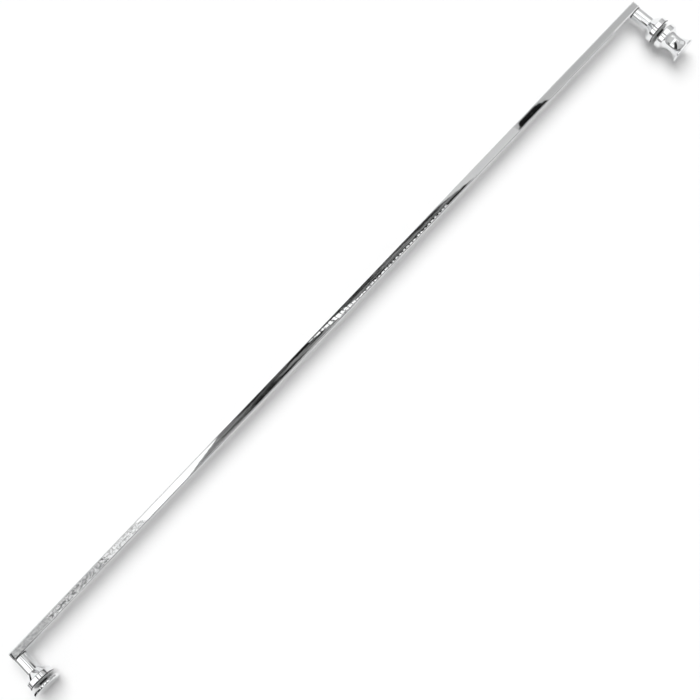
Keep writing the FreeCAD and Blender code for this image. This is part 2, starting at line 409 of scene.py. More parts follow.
@dataclass
class Sheet:
    """A node tree with short ways to add and join nodes."""

    tree: NodeTree

    def feed(self, node: Node, inputs: dict[str | int, Value]) -> None:
        """Sets a node's inputs.

        Args:
            node: The node.
            inputs: Socket name or number to a value, or to the output that feeds it.
        """
        for key, value in inputs.items():
            if isinstance(value, NodeSocket):
                self.tree.links.new(value, node.inputs[key])
            else:
                node.inputs[key].default_value = value

    def add(self, kind: str, inputs: dict[str | int, Value] | None = None, **settings: object) -> Node:
        """Adds a node.

        Args:
            kind: The node's type.
            inputs: What its inputs are set to, as for feed.
            settings: The node's own properties.

        Returns:
            The node.
        """
        node = self.tree.nodes.new(kind)
        for key, value in settings.items():
            setattr(node, key, value)
        self.feed(node, inputs or {})
        return node

    def maths(self, operation: str, first: Value, second: Value = 0.0) -> NodeSocket:
        """A Math node's result."""
        return self.add("ShaderNodeMath", {0: first, 1: second}, operation=operation).outputs[0]

    def noise(self, vector: Value, scale: Value, detail: float, roughness: float = 0.5) -> NodeSocket:
        """A noise value from 0 to 1."""
        inputs = {"Vector": vector, "Scale": scale, "Detail": detail, "Roughness": roughness}
        return self.add("ShaderNodeTexNoise", inputs).outputs["Fac"]

    def spread(
        self, value: Value, low: float, high: float, to_low: Value = 0.0, to_high: Value = 1.0
    ) -> NodeSocket:
        """The value's range from low to high, mapped smoothly to another one."""
        inputs = {"Value": value, "From Min": low, "From Max": high, "To Min": to_low, "To Max": to_high}
        return self.add("ShaderNodeMapRange", inputs, interpolation_type="SMOOTHSTEP").outputs["Result"]

    def stretched(self, vector: Value, scale: Triple, turn: float = 0.0) -> NodeSocket:
        """The coordinates stretched per axis and turned about Y."""
        inputs = {"Vector": vector, "Scale": scale, "Rotation": (0.0, turn, 0.0)}
        return self.add("ShaderNodeMapping", inputs).outputs["Vector"]


def blank_material(name: str) -> tuple[Material, Sheet]:
    """A new material that uses nodes, and its sheet."""
    material = bpy.data.materials.new(name)
    material.use_nodes = True
    return material, Sheet(material.node_tree)


class EffectGroup(ABC):
    """A shader node group, built once and shared."""

    name: str
    inputs: dict[str, float]
    outputs: tuple[str, ...]

    def tree(self) -> NodeTree:
        """The group's tree, made at its first use."""
        found = bpy.data.node_groups.get(self.name)
        if found is not None:
            return found
        tree = bpy.data.node_groups.new(self.name, "ShaderNodeTree")
        face = tree.interface
        face.new_socket("Coordinates", in_out="INPUT", socket_type="NodeSocketVector")
        for label, value in self.inputs.items():
            face.new_socket(label, in_out="INPUT", socket_type="NodeSocketFloat").default_value = value
        for label in self.outputs:
            face.new_socket(label, in_out="OUTPUT", socket_type="NodeSocketFloat")
        sheet = Sheet(tree)
        entry = sheet.add("NodeGroupInput").outputs
        sheet.add("NodeGroupOutput", self.results(sheet, entry))
        return tree

    @abstractmethod
    def results(self, sheet: Sheet, entry: NodeOutputs) -> dict[str, Value]:
        """Builds the effect.

        Args:
            sheet: The group's sheet.
            entry: The sockets of the group's inputs.

        Returns:
            Each output's socket by name.
        """

    def place(self, sheet: Sheet, where: Value, **values: float) -> NodeOutputs:
        """Places the group in a material.

        Args:
            sheet: The material's sheet.
            where: The coordinates.
            values: The group's inputs, by their names in lower case.

        Returns:
            The group's outputs.
        """
        node = sheet.add("ShaderNodeGroup", node_tree=self.tree())
        named = {label.title(): value for label, value in values.items()}
        sheet.feed(node, {"Coordinates": where, **named})
        return node.outputs


class PolishMarks(EffectGroup):
    """The haze, orange peel and hair scratches of buffed plating."""

    name = "polish_marks"
    inputs = {"Smooth": 0.012, "Hazy": 0.035, "Peel": 0.5, "Ripple": 0.0, "Scratches": 0.5}
    outputs = ("Roughness", "Height", "Haze")

    def results(self, sheet: Sheet, entry: NodeOutputs) -> dict[str, Value]:
        """Soft clouds set the roughness, thin noise the scratches, fine noise the peel and waves."""
        where = entry["Coordinates"]
        cloud = sheet.noise(where, 26.0, 4.0, 0.6)
        haze = sheet.spread(cloud, 0.42, 0.72)
        fine = sheet.noise(sheet.stretched(where, (40.0, 900.0, 900.0), 0.3), 1.0, 2.0)
        across = sheet.noise(sheet.stretched(where, (760.0, 60.0, 760.0), -0.5), 1.0, 2.0)
        hairs = sheet.maths("ADD", sheet.spread(fine, 0.66, 0.74), sheet.spread(across, 0.68, 0.76))
        hairs = sheet.maths("MULTIPLY", hairs, entry["Scratches"])
        rough = sheet.spread(haze, 0.0, 1.0, entry["Smooth"], entry["Hazy"])
        rough = sheet.maths("ADD", rough, sheet.maths("MULTIPLY", hairs, 0.05))
        peel = sheet.maths("MULTIPLY", sheet.noise(where, 320.0, 2.0), entry["Peel"])
        waves = sheet.noise(sheet.stretched(where, (200.0, 40.0, 40.0)), 1.0, 0.0)
        waves = sheet.maths("MULTIPLY", waves, entry["Ripple"])
        height = sheet.maths("ADD", peel, sheet.maths("MULTIPLY", waves, 2.0))
        height = sheet.maths("SUBTRACT", height, sheet.maths("MULTIPLY", hairs, 0.3))
        return {"Roughness": rough, "Height": height, "Haze": haze}


class SeamShadeLine(EffectGroup):
    """A painted shade line: dark where a part meets its neighbour, as shade falls in the joint."""

    name = "seam_painted_shade"
    inputs = {"Seam": 0.0, "Width": 0.0006}
    outputs = ("PaintedShade",)

    def results(self, sheet: Sheet, entry: NodeOutputs) -> dict[str, Value]:
        """The painted shade is one at the seam's place along Y, fading out over a width that noise makes
        uneven.
        """
        where = entry["Coordinates"]
        y = sheet.add("ShaderNodeSeparateXYZ", {"Vector": where}).outputs["Y"]
        away = sheet.maths("ABSOLUTE", sheet.maths("SUBTRACT", y, entry["Seam"]))
        uneven = sheet.spread(sheet.noise(where, 900.0, 3.0), 0.3, 0.7, 0.7, 1.3)
        share = sheet.maths("DIVIDE", away, sheet.maths("MULTIPLY", entry["Width"], uneven))
        return {"PaintedShade": sheet.spread(share, 0.5, 1.0, 1.0, 0.0)}


class LatheMarks(EffectGroup):
    """The fine rings that a cutting tool leaves across a turned part."""

    name = "lathe_marks"
    inputs = {"Pitch": 0.0002, "Smooth": 0.2, "Rough": 0.38}
    outputs = ("Roughness", "Height", "Stain")

    def results(self, sheet: Sheet, entry: NodeOutputs) -> dict[str, Value]:
        """A sine of the place along Y, its phase shaken by noise, and stains from soft clouds."""
        where = entry["Coordinates"]
        y = sheet.add("ShaderNodeSeparateXYZ", {"Vector": where}).outputs["Y"]
        shake = sheet.noise(where, 400.0, 3.0)
        turns = sheet.maths("DIVIDE", y, entry["Pitch"])
        rings = sheet.maths("SINE", sheet.maths("ADD", turns, sheet.maths("MULTIPLY", shake, 5.0)))
        stain = sheet.spread(sheet.noise(where, 150.0, 5.0, 0.65), 0.4, 0.7)
        rough = sheet.spread(stain, 0.0, 1.0, entry["Smooth"], entry["Rough"])
        return {"Roughness": rough, "Height": rings, "Stain": stain}


class MouldedGrain(EffectGroup):
    """The grain of a moulded surface, and the dust that it holds."""

    name = "moulded_grain"
    inputs = {"Grain": 2200.0, "Dust": 0.4}
    outputs = ("Height", "Dust", "Bloom")

    def results(self, sheet: Sheet, entry: NodeOutputs) -> dict[str, Value]:
        """Fine noise is the grain, sparse peaks of a finer one the dust, and slow noise the bloom."""
        where = entry["Coordinates"]
        grain = sheet.noise(where, entry["Grain"], 3.0, 0.6)
        specks = sheet.spread(sheet.noise(where, 3800.0, 1.0), 0.66, 0.74)
        dust = sheet.maths("MULTIPLY", specks, entry["Dust"])
        bloom = sheet.spread(sheet.noise(where, 220.0, 4.0, 0.6), 0.35, 0.7)
        return {"Height": grain, "Dust": dust, "Bloom": bloom}


# ---------------------------------------------------------------- finishes


class Finish(ABC):
    """A material and the record's slot that it belongs to."""

    slot: Slot

    @abstractmethod
    def dress(self, sheet: Sheet, shader: Node, where: Value) -> None:
        """Feeds the shader.

        Args:
            sheet: The material's sheet.
            shader: Its shader.
            where: The object coordinates.
        """

    def material(self) -> Material:
        """The finished material, made at its first use."""
        name = f"{self.slot.value}_finish"
        found = bpy.data.materials.get(name)
        if found is not None:
            return found
        material, sheet = blank_material(name)
        shader = material.node_tree.nodes["Principled BSDF"]
        where = sheet.add("ShaderNodeTexCoord").outputs["Object"]
        self.dress(sheet, shader, where)
        return material


def two_tone(sheet: Sheet, mask: NodeSocket, plain: Value, marked: Value) -> NodeSocket:
    """Mixes two colours.

    Args:
        sheet: The material's sheet.
        mask: From 0, plain, to 1, marked.
        plain: A colour, or the socket that gives it.
        marked: The same.

    Returns:
        The mixed colour's socket.
    """
    node = sheet.add("ShaderNodeMix", data_type="RGBA")
    sockets = {socket.identifier: socket for socket in node.inputs}
    sheet.tree.links.new(mask, sockets["Factor_Float"])
    for key, colour in (("A_Color", plain), ("B_Color", marked)):
        if isinstance(colour, NodeSocket):
            sheet.tree.links.new(colour, sockets[key])
        else:
            sockets[key].default_value = (*colour, 1.0)
    return {socket.identifier: socket for socket in node.outputs}["Result_Color"]


def add_bump(sheet: Sheet, shader: Node, height: Value, strength: float, depth: float) -> None:
    """Feeds the shader's normal from a height."""
    inputs = {"Height": height, "Strength": strength, "Distance": depth}
    sheet.feed(shader, {"Normal": sheet.add("ShaderNodeBump", inputs).outputs["Normal"]})


# Painted shade: the colour of the dark lines painted along the chrome's seams, and how much rougher they
# are.
PAINTED_SHADE_COLOUR = (0.015, 0.014, 0.013)
SEAM_SHADE_ROUGHNESS = 0.4
DUST_COLOUR = (0.30, 0.29, 0.28)
RING_BUMP = 0.25
METAL_DEPTH = 0.00002
GRAIN_DEPTH = 0.00006


@dataclass(frozen=True)
class Chrome(Finish):
    """Bright chromium plating over a buffed surface."""

    slot: Slot
    plain: Triple = (0.875, 0.88, 0.885)
    hazed: Triple = (0.84, 0.85, 0.86)
    smooth: float = 0.012
    hazy: float = 0.035
    peel: float = 0.3
    ripple: float = 0.0
    scratches: float = 0.4
    bump: float = 0.12
    seams: tuple[Pair, ...] = ()

    def dress(self, sheet: Sheet, shader: Node, where: Value) -> None:
        """A mirror whose roughness and height follow the polish marks."""
        values = {"smooth": self.smooth, "hazy": self.hazy, "peel": self.peel}
        values |= {"ripple": self.ripple, "scratches": self.scratches}
        marks = PolishMarks().place(sheet, where, **values)
        colour = two_tone(sheet, marks["Haze"], self.plain, self.hazed)
        rough = marks["Roughness"]
        # Each seam paints a thin line of shade into the colour and roughens it there.
        for seam, width in self.seams:
            painted_shade = SeamShadeLine().place(sheet, where, seam=seam, width=width)["PaintedShade"]
            colour = two_tone(sheet, painted_shade, colour, PAINTED_SHADE_COLOUR)
            rough = sheet.maths("ADD", rough, sheet.maths("MULTIPLY", painted_shade, SEAM_SHADE_ROUGHNESS))
        sheet.feed(shader, {"Base Color": colour, "Roughness": rough, "Metallic": 1.0})
        add_bump(sheet, shader, marks["Height"], self.bump, METAL_DEPTH)


@dataclass(frozen=True)
class TurnedSteel(Finish):
    """Bare or zinc-plated steel with the tool's rings left on it."""

    slot: Slot
    plain: Triple = (0.62, 0.62, 0.61)
    stained: Triple = (0.50, 0.50, 0.48)
    pitch: float = 0.00004
    smooth: float = 0.2
    rough: float = 0.36

    def dress(self, sheet: Sheet, shader: Node, where: Value) -> None:
        """Metal with rings and stains."""
        values = {"pitch": self.pitch, "smooth": self.smooth, "rough": self.rough}
        marks = LatheMarks().place(sheet, where, **values)
        colour = two_tone(sheet, marks["Stain"], self.plain, self.stained)
        sheet.feed(shader, {"Base Color": colour, "Roughness": marks["Roughness"], "Metallic": 1.0})
        add_bump(sheet, shader, marks["Height"], RING_BUMP, METAL_DEPTH)


@dataclass(frozen=True)
class Moulded(Finish):
    """Moulded rubber or nylon, pale or black."""

    slot: Slot
    plain: Triple = (0.018, 0.018, 0.019)
    bloomed: Triple = (0.032, 0.032, 0.034)
    grain: float = 2200.0
    dust: float = 0.4
    smooth: float = 0.5
    rough: float = 0.7
    bump: float = 0.35

    def dress(self, sheet: Sheet, shader: Node, where: Value) -> None:
        """A matt body with bloom, dust and grain."""
        marks = MouldedGrain().place(sheet, where, grain=self.grain, dust=self.dust)
        body = two_tone(sheet, marks["Bloom"], self.plain, self.bloomed)
        dusty = two_tone(sheet, marks["Dust"], body, DUST_COLOUR)
        rough = sheet.spread(marks["Bloom"], 0.0, 1.0, self.smooth, self.rough)
        sheet.feed(shader, {"Base Color": dusty, "Roughness": rough})
        add_bump(sheet, shader, marks["Height"], self.bump, GRAIN_DEPTH)


BAR_CHROME = Chrome(Slot.BAR_CHROME, hazy=0.022, peel=0.2, ripple=1.0, scratches=0.5, bump=0.16)
# Where painted shade lines fall: the post's joint with the bar, and next to the bell's face that meets
# the gasket.
POST_SEAM = (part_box("knob_end_post")[0].y, 0.0010)
FACE_SEAM = (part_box("knob_end_bell_base")[1].y - 0.0007, 0.0005)
TURNED_CHROME = Chrome(Slot.TURNED_CHROME, seams=(POST_SEAM, FACE_SEAM))
KNOB_CHROME = Chrome(Slot.KNOB_CHROME, peel=0.4, scratches=0.5)
GASKET_RUBBER = Moulded(
    Slot.GASKET_RUBBER, (0.54, 0.55, 0.55), (0.62, 0.63, 0.63), 2200.0, 0.15, 0.28, 0.45, 0.2
)
BUSH_NYLON = Moulded(
    Slot.BUSH_NYLON, (0.012, 0.012, 0.013), (0.02, 0.02, 0.021), 3200.0, 0.2, 0.3, 0.42, 0.15
)
ZINC_STEEL = TurnedSteel(Slot.ZINC_STEEL, (0.66, 0.67, 0.69), (0.56, 0.56, 0.53), 0.00006)
STAINLESS_STUD = TurnedSteel(Slot.STAINLESS_STUD)


# ---------------------------------------------------------------- the bar and its fittings


def add_object(name: str, data: ID) -> Object:
    """A new object in the scene, at the world's origin."""
    made = bpy.data.objects.new(name, data)
    bpy.context.scene.collection.objects.link(made)
    return made


def radius_of(node: str) -> float:
    """Half the node's width along X."""
    low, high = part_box(node)
    return (high.x - low.x) / 2


@dataclass
class Assembly(ABC):
    """A set of pieces that are built, dressed and put on their bodies together."""

    def add_piece(self, name: str, grid: Grid, body: Body, finish: Finish, node: str) -> None:
        """Makes one piece.

        Args:
            name: The piece's name.
            grid: Its surface, in place, in metres.
            body: The body that it rides on.
            finish: Its finish.
            node: The CAD node that it stands for.
        """
        piece = add_object(name, grid.to_mesh(name))
        piece.data.materials.append(finish.material())
        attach(piece, body.value)
        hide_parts(node)
        LOG.info("%s: %d faces on %s", name, len(piece.data.polygons), body.value)

    def add_back_gasket(self, node: str, x: float, body: Body) -> None:
        """Makes the ring behind the glass, with its four edges rounded alike.

        Args:
            node: The CAD node that it stands for.
            x: Where its axis stands.
            body: The body that it rides on.
        """
        low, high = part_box(node)
        inner, outer, edge = 3.3 * MM, radius_of(node), 0.25 * MM
        places = ((inner, low.y), (outer, low.y), (outer, high.y), (inner, high.y))
        corners = [Corner(radius, y, edge) for radius, y in places]
        grid = lathe(x, corners, closed=True, steps=6)
        self.add_piece(f"{node}_surface", grid, body, GASKET_RUBBER, node)

    @abstractmethod
    def build(self) -> None:
        """Builds every piece."""


@dataclass
class Bar(Assembly):
    """The rectangular tube and the plates that close its ends."""

    wall: float = 1.2 * MM
    edge_radius: float = 1.4 * MM
    plate_edge: float = 1.2 * MM
    seam: float = 0.06 * MM
    core_radii: float = 1.2

    def section(self) -> BarPath:
        """The outer section, from the CAD tube."""
        low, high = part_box("bar_tube")
        return BarPath((low.y + high.y) / 2, (high.y - low.y) / 2, high.z, self.edge_radius)

    def tube(self) -> Grid:
        """The hollow tube: a long thin rectangle carried round the section."""
        low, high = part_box("bar_tube")
        corners = [
            Corner(-self.wall, low.x),
            Corner(0.0, low.x, self.seam),
            Corner(0.0, high.x, self.seam),
            Corner(-self.wall, high.x),
        ]
        return carry(Outline.from_corners(corners, closed=True, steps=4), self.section())

    def plate(self, outer_x: float, seam_x: float) -> Grid:
        """An end plate: rounded outside, and with a hair of a chamfer at the seam.

        Args:
            outer_x: Where its outer face lies along the bar.
            seam_x: Where it meets the tube.

        Returns:
            Its surface.
        """
        section = self.section()
        core = -(section.half_y - self.core_radii * section.radius)
        corners = [
            Corner(core, outer_x),
            Corner(0.0, outer_x, self.plate_edge),
            Corner(0.0, seam_x, self.seam),
            Corner(core, seam_x),
        ]
        if outer_x > seam_x:
            corners.reverse()
        return carry(Outline.from_corners(corners, closed=False, steps=8), section)

    def build(self) -> None:
        """Builds the tube and both plates."""
        self.add_piece("bar_surface", self.tube(), Body.BAR_FRAME, BAR_CHROME, "bar_tube")
        for end, is_low in (("knob_end", True), ("cap_end", False)):
            node = f"{end}_plate"
            low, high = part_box(node)
            outer, seam = (low.x, high.x) if is_low else (high.x, low.x)
            self.add_piece(f"{node}_surface", self.plate(outer, seam), Body.BAR_FRAME, BAR_CHROME, node)


@dataclass
class Standoff(Assembly):
    """One end's post, bell base, front gasket and glass bush."""

    end: str
    x: float
    spigot_radius: float = 5.5 * MM
    thread_radius: float = 3.05 * MM
    bush_radius: float = 4.5 * MM
    gasket_bore: float = 5.1 * MM
    groove_mouth: float = 1.2 * MM
    groove_floor: float = 0.8 * MM
    groove_depth: float = 0.3 * MM
    top_hole_depth: float = 8.5 * MM
    lower_hole_depth: float = 20.0 * MM
    cone_height: float = 7.8 * MM
    shoulder_radius: float = 1.0 * MM
    bell_edge: float = 1.5 * MM
    fit: float = 0.05 * MM
    loose: float = 0.1 * MM

    def post(self) -> Grid:
        """The post and its spigot, with a blind threaded hole at each end."""
        low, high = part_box(f"{self.end}_post")
        radius = radius_of(f"{self.end}_post")
        bell_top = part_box(f"{self.end}_bell_base")[0].y
        core = CORE_SHARE * self.thread_radius
        corners = [
            Corner(core, low.y + self.top_hole_depth),
            Corner(self.thread_radius, low.y + self.top_hole_depth),
            Corner(self.thread_radius, low.y, 0.3 * MM),
            Corner(radius, low.y, 0.12 * MM),
            Corner(radius, bell_top, 0.12 * MM),
            Corner(self.spigot_radius, bell_top),
            Corner(self.spigot_radius, high.y, 0.4 * MM),
            Corner(self.thread_radius, high.y, 0.3 * MM),
            Corner(self.thread_radius, high.y - self.lower_hole_depth),
            Corner(core, high.y - self.lower_hole_depth),
        ]
        return lathe(self.x, corners, closed=False, steps=6)

    def bell(self) -> Grid:
        """The bell base: cone, shoulder and rim outside; spigot bore, bush bore and recess inside."""
        low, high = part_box(f"{self.end}_bell_base")
        radius = radius_of(f"{self.end}_bell_base")
        post_radius = radius_of(f"{self.end}_post")
        recess_radius = radius_of(f"{self.end}_front_gasket") + self.loose
        recess_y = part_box(f"{self.end}_front_gasket")[0].y
        bush_radius = self.bush_radius + self.fit
        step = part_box(f"{self.end}_post")[1].y + self.loose
        corners = [
            Corner(self.spigot_radius + self.fit, low.y),
            Corner(post_radius, low.y, 0.1 * MM),
            Corner(radius, low.y + self.cone_height, self.shoulder_radius),
            Corner(radius, high.y, self.bell_edge),
            Corner(recess_radius, high.y, 0.15 * MM),
            Corner(recess_radius, recess_y),
            Corner(bush_radius, recess_y, 0.2 * MM),
            Corner(bush_radius, step),
            Corner(self.spigot_radius + self.fit, step),
        ]
        return lathe(self.x, corners, closed=True, steps=10, columns=128)

    def front_gasket(self) -> Grid:
        """The gasket: a flat ring with rounded edges and a shallow sealing groove in its face."""
        low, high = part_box(f"{self.end}_front_gasket")
        inner, outer = self.gasket_bore, radius_of(f"{self.end}_front_gasket")
        middle = (outer + inner) / 2
        corners = [
            Corner(inner, low.y, 0.15 * MM),
            Corner(outer, low.y, 0.2 * MM),
            Corner(outer, high.y, 0.35 * MM),
            Corner(middle + self.groove_mouth, high.y, 0.2 * MM),
            Corner(middle + self.groove_floor, high.y - self.groove_depth, 0.2 * MM),
            Corner(middle - self.groove_floor, high.y - self.groove_depth, 0.2 * MM),
            Corner(middle - self.groove_mouth, high.y, 0.2 * MM),
            Corner(inner, high.y, 0.2 * MM),
        ]
        return lathe(self.x, corners, closed=True, steps=5)

    def bush(self) -> Grid:
        """The stepped bush."""
        low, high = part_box(f"{self.end}_glass_bush")
        outer = radius_of(f"{self.end}_glass_bush")
        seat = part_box(f"{self.end}_front_gasket")[1].y
        bore = self.thread_radius + 0.15 * MM
        corners = [
            Corner(bore, low.y, 0.1 * MM),
            Corner(self.bush_radius, low.y, 0.25 * MM),
            Corner(self.bush_radius, seat, 0.08 * MM),
            Corner(outer, seat, 0.12 * MM),
            Corner(outer, high.y, 0.25 * MM),
            Corner(bore, high.y, 0.2 * MM),
        ]
        return lathe(self.x, corners, closed=True, steps=5)

    def build(self) -> None:
        """Builds the four pieces of this end."""
        pieces = (
            ("post", self.post(), TURNED_CHROME),
            ("bell_base", self.bell(), TURNED_CHROME),
            ("front_gasket", self.front_gasket(), GASKET_RUBBER),
            ("glass_bush", self.bush(), BUSH_NYLON),
        )
        for piece, grid, finish in pieces:
            node = f"{self.end}_{piece}"
            self.add_piece(f"{node}_surface", grid, Body.BAR_FRAME, finish, node)


@dataclass
class Knob(Assembly):
    """The waisted knob, its gasket and the stud that it runs on."""

    x: float = KNOB_END_X
    waist_radius: float = 9.8 * MM
    collar: float = 7.2 * MM
    waist_from_face: float = 17.0 * MM
    end_rim: float = 1.6 * MM
    face_radius: float = 1.6 * MM
    shoulder_radius: float = 0.9 * MM
    rim_radius: float = 0.35 * MM
    end_radius: float = 0.6 * MM
    thread_radius: float = 3.05 * MM
    recess_radius: float = 11.1 * MM
    hole_end: float = 0.5 * MM
    near_share: float = 0.92
    far_share: float = 0.94

    def hollow_corner(self, run: float, drop: float) -> Pair:
        """The corner whose rounding is the hollow between a shoulder and the waist.

        An arc that falls by drop over run and ends level turns through twice atan(drop / run). Its
        radius is run / sin(turn), and its corner lies radius * tan(turn / 2) before the level end.

        Args:
            run: The arc's length along the axis.
            drop: How far it falls.

        Returns:
            The corner's distance from the waist, and the arc's radius.
        """
        turn = 2 * math.atan2(drop, run)
        radius = run / math.sin(turn)
        return radius * math.tan(turn / 2), radius

    def handle(self) -> Grid:
        """The knob: recess and blind hole in its face, collar, two hollows and a flat end."""
        low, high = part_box("knob")
        gasket_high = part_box("knob_end_back_gasket")[1].y
        radius = radius_of("knob")
        stud_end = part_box("knob_stud")[1].y + self.hole_end
        drop = radius - self.waist_radius
        collar_y = low.y + self.collar
        waist_y = low.y + self.waist_from_face
        rim_y = high.y - self.end_rim
        near, near_radius = self.hollow_corner(waist_y - collar_y, drop)
        far, far_radius = self.hollow_corner(rim_y - waist_y, drop)
        core = CORE_SHARE * self.thread_radius
        corners = [
            Corner(core, stud_end),
            Corner(self.thread_radius, stud_end),
            Corner(self.thread_radius, gasket_high, 0.3 * MM),
            Corner(self.recess_radius, gasket_high),
            Corner(self.recess_radius, low.y, 0.15 * MM),
            Corner(radius, low.y, self.face_radius),
            Corner(radius, collar_y, self.shoulder_radius),
            Corner(self.waist_radius, waist_y - near, near_radius * self.near_share),
            Corner(self.waist_radius, waist_y + far, far_radius * self.far_share),
            Corner(radius, rim_y, self.rim_radius),
            Corner(radius, high.y, self.end_radius),
            Corner(core, high.y),
        ]
        return lathe(self.x, corners, closed=False, steps=20, columns=ROUND_COLUMNS)

    def build(self) -> None:
        """Builds the knob, its gasket and its stud."""
        self.add_piece("knob_surface", self.handle(), Body.KNOB, KNOB_CHROME, "knob")
        self.add_back_gasket("knob_end_back_gasket", self.x, Body.KNOB_GASKET)
        low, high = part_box("knob_stud")
        stud = ThreadedRod(self.x, low.y, high.y)
        self.add_piece("knob_stud_thread", stud.grid(), Body.BAR_FRAME, STAINLESS_STUD, "knob_stud")


@dataclass
class Cap(Assembly):
    """The round cap disc, its gasket and its screw."""

    x: float = CAP_END_X
    edge_radius: float = 1.5 * MM
    recess_radius: float = 11.1 * MM
    seat_radius: float = 3.05 * MM
    screw_gap: float = 0.05 * MM

    def disc(self) -> Grid:
        """The disc: recess and blind screw seat in its face, and rounded edges."""
        low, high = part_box("cap_disc")
        gasket_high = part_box("cap_end_back_gasket")[1].y
        radius = radius_of("cap_disc")
        seat_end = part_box("cap_screw")[1].y
        core = CORE_SHARE * self.seat_radius
        corners = [
            Corner(core, seat_end),
            Corner(self.seat_radius, seat_end),
            Corner(self.seat_radius, gasket_high, 0.2 * MM),
            Corner(self.recess_radius, gasket_high),
            Corner(self.recess_radius, low.y, 0.15 * MM),
            Corner(radius, low.y, self.edge_radius),
            Corner(radius, high.y, self.edge_radius),
            Corner(core, high.y),
        ]
        return lathe(self.x, corners, closed=False, steps=14, columns=ROUND_COLUMNS)

    def build(self) -> None:
        """Builds the disc, its gasket and its screw."""
        self.add_piece("cap_disc_surface", self.disc(), Body.CAP, KNOB_CHROME, "cap_disc")
        self.add_back_gasket("cap_end_back_gasket", self.x, Body.CAP_GASKET)
        low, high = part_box("cap_screw")
        screw = ThreadedRod(self.x, low.y, high.y - self.screw_gap)
        self.add_piece("cap_screw_thread", screw.grid(), Body.CAP, STAINLESS_STUD, "cap_screw")


def dress_hidden_nodes() -> None:
    """Gives the pieces inside the bar, which keep their CAD shapes, their steel finish."""
    for end in ("knob_end", "cap_end"):
        for piece in ("insert_block", "bar_set_screw"):
            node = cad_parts[f"{end}_{piece}"]
            node.data.materials.clear()
            node.data.materials.append(ZINC_STEEL.material())
            LOG.info("%s keeps its CAD shape", node.name)


# ---------------------------------------------------------------- studio


@dataclass(frozen=True)
class Tone:
    """What a card gives off: an even tone, or two tones in patches."""

    name: str
    bright: float
    dim: float = -1.0
    patches: Triple = (100.0, 100.0, 1.0)
    low: float = 0.4
    high: float = 0.6

    def material(self) -> Material:
        """The glowing material: its strength is even, or follows noise between the two tones."""
        found = bpy.data.materials.get(f"{self.name}_tone")
        if found is not None:
            return found
        material, sheet = blank_material(f"{self.name}_tone")
        material.node_tree.nodes.remove(material.node_tree.nodes["Principled BSDF"])
        strength: Value = self.bright
        if self.dim >= 0:
            where = sheet.add("ShaderNodeTexCoord").outputs["Object"]
            patch = sheet.noise(sheet.stretched(where, self.patches), 1.0, 3.0, 0.6)
            strength = sheet.spread(patch, self.low, self.high, self.dim, self.bright)
        glow = sheet.add("ShaderNodeEmission", {"Strength": strength})
        output = material.node_tree.nodes["Material Output"]
        sheet.feed(output, {"Surface": glow.outputs["Emission"]})
        return material


WHITE = Tone("white", 1.3)
BLACK = Tone("black", 0.01)
CEILING = 2.2
SHADE_HEIGHT = 0.35
STRIPE_HEIGHT = 0.34
GROUND = -0.0162


def add_flat(name: str, corners: Sequence[Triple], material: Material) -> Object:
    """Makes a flat face for every four corners.

    Args:
        name: The object's name.
        corners: The corners in order.
        material: Its material.

    Returns:
        The object, which is marked as no part of the model.
    """
    mesh = bpy.data.meshes.new(name)
    mesh.from_pydata(list(corners), [], np.arange(len(corners)).reshape(-1, 4).tolist())
    mesh.materials.append(material)
    panel = add_object(name, mesh)
    panel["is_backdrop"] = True
    return panel


@dataclass(frozen=True)
class Card:
    """One or more flat panels that only reflections see."""

    name: str
    corners: tuple[Triple, ...]
    tone: Tone

    def build(self) -> None:
        """Makes a panel from every four corners."""
        panel = add_flat(self.name, self.corners, self.tone.material())
        panel.visible_camera = False
        panel.visible_diffuse = False
        panel.visible_shadow = False
        panel.visible_transmission = False


@dataclass(frozen=True)
class Blind:
    """A blind's slats, which cross the bar slantwise and run on along its edge.

    Shares are parts of the face's width, counted from the side away from the posts. The slats'
    middles step across it, and the longest slat is the one numbered so.
    """

    first_x: float = 0.533
    step: float = 0.0058
    count: int = 38
    first_share: float = 0.02
    share_step: float = 0.075
    last_share: float = 0.92
    short_half: float = 0.09
    extra_half: float = 0.26
    longest: int = 7
    fall: int = 6
    edge: float = 0.17
    reach: float = 0.67
    wide: float = 0.74
    narrow: float = 0.55
    narrow_from: int = 16
    lean: float = 0.9


